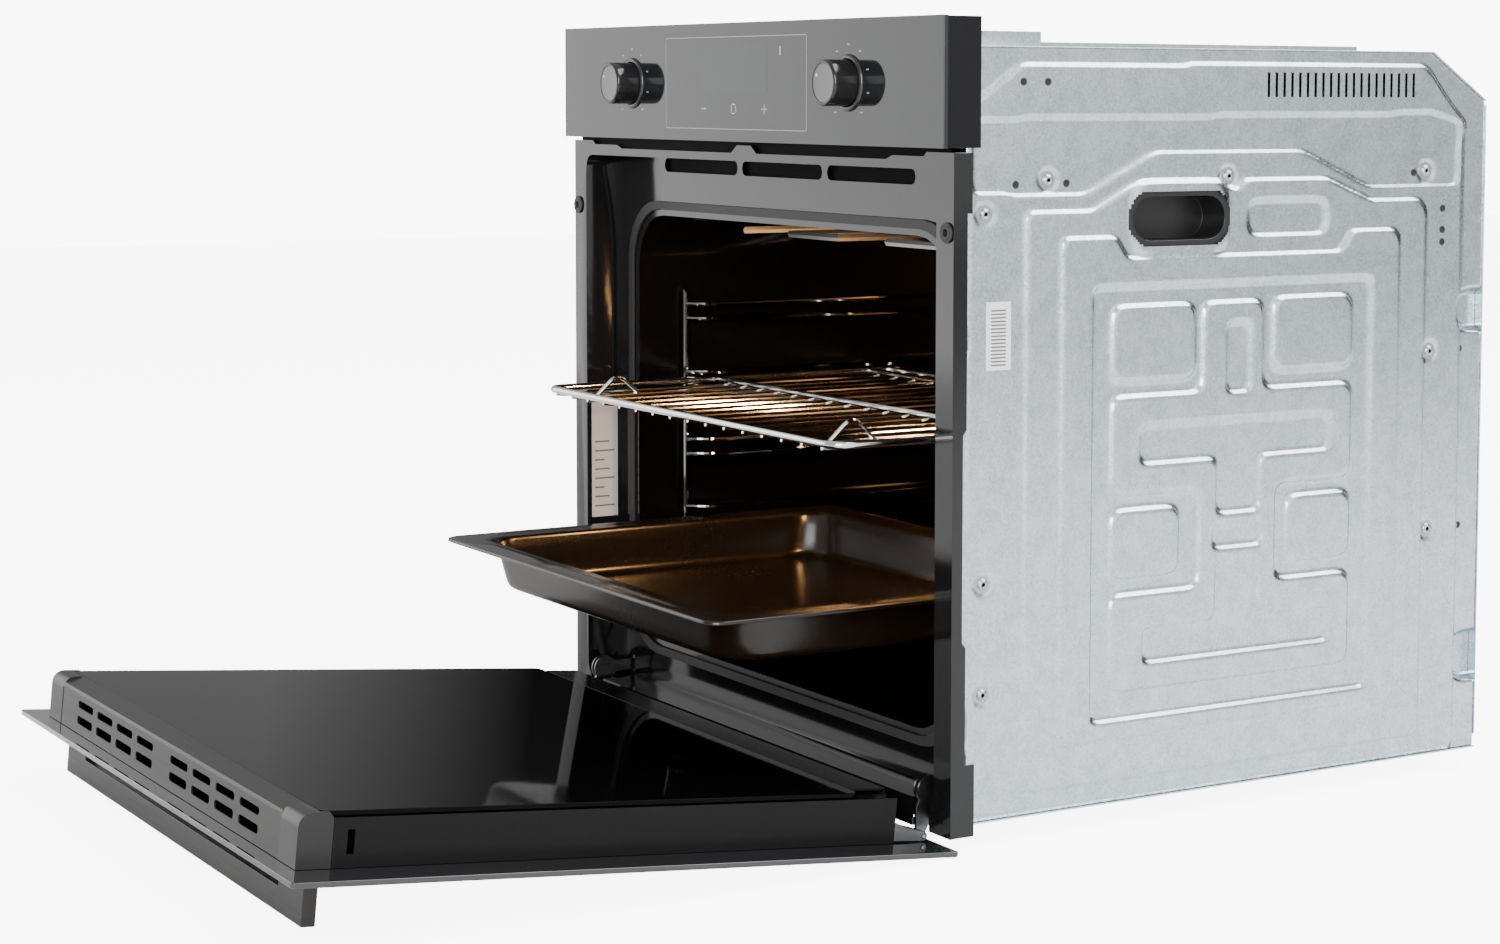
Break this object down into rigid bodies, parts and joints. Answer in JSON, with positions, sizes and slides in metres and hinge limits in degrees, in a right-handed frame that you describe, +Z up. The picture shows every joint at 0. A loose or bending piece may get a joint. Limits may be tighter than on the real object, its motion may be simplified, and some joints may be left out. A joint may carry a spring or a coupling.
{
  "type": "wall oven",
  "caption": "Built-in wall oven with a drop-down glass door, wire rack, baking tray, push-in knobs and a sheet-steel casing",
  "frame": {"origin": "middle of the flat underside of the base pan, on the shelf that the oven stands on, between the left and right sides", "axes": "X to the right seen from the front, Y into the cabinet away from the user, Z up"},
  "size_m": [0.595, 1.0294, 0.5944],
  "materials": {
    "galvanised": "zinc-coated pressed sheet with a fine spangle",
    "enamel": "gloss black vitreous enamel",
    "black_glass": "black back-printed toughened glass",
    "door_glass": "dark tinted toughened glass",
    "black_plastic": "moulded black plastic, satin",
    "satin_metal": "satin grey brushed metal",
    "chrome": "bright chromed wire and trim",
    "steel": "plain pressed steel",
    "dark_rail": "dark painted sheet",
    "seal": "black silicone rubber",
    "wool": "pale mineral wool",
    "bulb": "clear warm bulb glass"
  },
  "bodies": {
    "casing": {"front_frame": "enamel", "frame_bush_left": "seal", "frame_bush_right": "seal", "door_seal": "seal", "control_glass": "black_glass", "control_box": "black_plastic", "display_module": "black_plastic", "knob_collar_left": "chrome", "knob_collar_right": "chrome", "selector_switch": "black_plastic", "thermostat": "black_plastic", "side_panel_left": "galvanised", "side_panel_right": "galvanised", "hand_hold_left": "black_plastic", "hand_hold_right": "black_plastic", "top_cover": "galvanised", "back_cover": "galvanised", "base_pan": "galvanised", "terminal_block": "black_plastic", "cavity_shell": "enamel", "insulation": "wool", "ladder_left": "chrome", "ladder_right": "chrome", "fan_cover": "enamel", "ring_element": "steel", "grill_element": "steel", "base_element": "steel", "lamp_holder": "steel", "lamp_bulb": "bulb", "lamp_glass": "black_glass", "fan_motor": "steel", "cooling_blower": "galvanised", "hinge_receiver_left": "steel", "hinge_receiver_right": "steel", "hinge_arm_left": "steel", "hinge_arm_right": "steel"},
    "door": {"door_outer_glass": "black_glass", "door_middle_glass": "door_glass", "door_inner_glass": "door_glass", "door_top_trim": "satin_metal", "door_cap_left": "black_plastic", "door_cap_right": "black_plastic", "door_side_rail_left": "dark_rail", "door_side_rail_right": "dark_rail", "door_bottom_rail": "dark_rail", "door_handle": "satin_metal", "hinge_body_left": "steel", "hinge_body_right": "steel", "hinge_pin_left": "steel", "hinge_pin_right": "steel"},
    "catch_left": {"hinge_catch_left": "chrome"},
    "catch_right": {"hinge_catch_right": "chrome"},
    "rack": {"wire_rack": "chrome"},
    "tray": {"baking_tray": "enamel"},
    "shaft_left": {"knob_shaft_left": "steel"},
    "shaft_right": {"knob_shaft_right": "steel"},
    "dial_left": {"knob_left": "black_plastic"},
    "dial_right": {"knob_right": "black_plastic"},
    "fan": {"fan_wheel": "steel"},
    "cooling_rotor": {"cooling_wheel": "steel"}
  },
  "joints": [
    {"name": "door_swing", "type": "hinge", "parent": "casing", "child": "door", "pos_m": [0, -0.266, 0.0045], "axis": [-1, 0, 0], "range_deg": [0, 84.45]},
    {"name": "catch_left_flip", "type": "hinge", "parent": "casing", "child": "catch_left", "pos_m": [-0.258, -0.2585, 0.0375], "axis": [1, 0, 0], "range_deg": [0, 95]},
    {"name": "catch_right_flip", "type": "hinge", "parent": "casing", "child": "catch_right", "pos_m": [0.258, -0.2585, 0.0375], "axis": [1, 0, 0], "range_deg": [0, 95]},
    {"name": "rack_slide", "type": "slide", "parent": "casing", "child": "rack", "axis": [0, 1, 0], "range_m": [0, 0.102]},
    {"name": "tray_slide", "type": "slide", "parent": "casing", "child": "tray", "axis": [0, 1, 0], "range_m": [0, 0.196]},
    {"name": "selector_turn", "type": "hinge", "parent": "casing", "child": "shaft_left", "pos_m": [-0.171, -0.265, 0.543], "axis": [0, 1, 0], "continuous": true},
    {"name": "temperature_turn", "type": "hinge", "parent": "casing", "child": "shaft_right", "pos_m": [0.171, -0.265, 0.543], "axis": [0, 1, 0], "range_deg": [0, 300]},
    {"name": "selector_push", "type": "slide", "parent": "shaft_left", "child": "dial_left", "axis": [0, 1, 0], "range_m": [0, 0.021], "stiffness_N_per_m": 120, "springref_m": -0.01},
    {"name": "temperature_push", "type": "slide", "parent": "shaft_right", "child": "dial_right", "axis": [0, 1, 0], "range_m": [0, 0.021], "stiffness_N_per_m": 120, "springref_m": -0.01},
    {"name": "fan_spin", "type": "hinge", "parent": "casing", "child": "fan", "pos_m": [0, 0.171, 0.245], "axis": [0, 1, 0], "continuous": true},
    {"name": "cooling_spin", "type": "hinge", "parent": "casing", "child": "cooling_rotor", "pos_m": [0, -0.05, 0.496], "axis": [1, 0, 0], "continuous": true}
  ],
  "couplings": [
    {"joint": "rack_slide", "follows": "door_swing", "m_per_rad": 0.069},
    {"joint": "tray_slide", "follows": "door_swing", "m_per_rad": 0.1328}
  ]
}
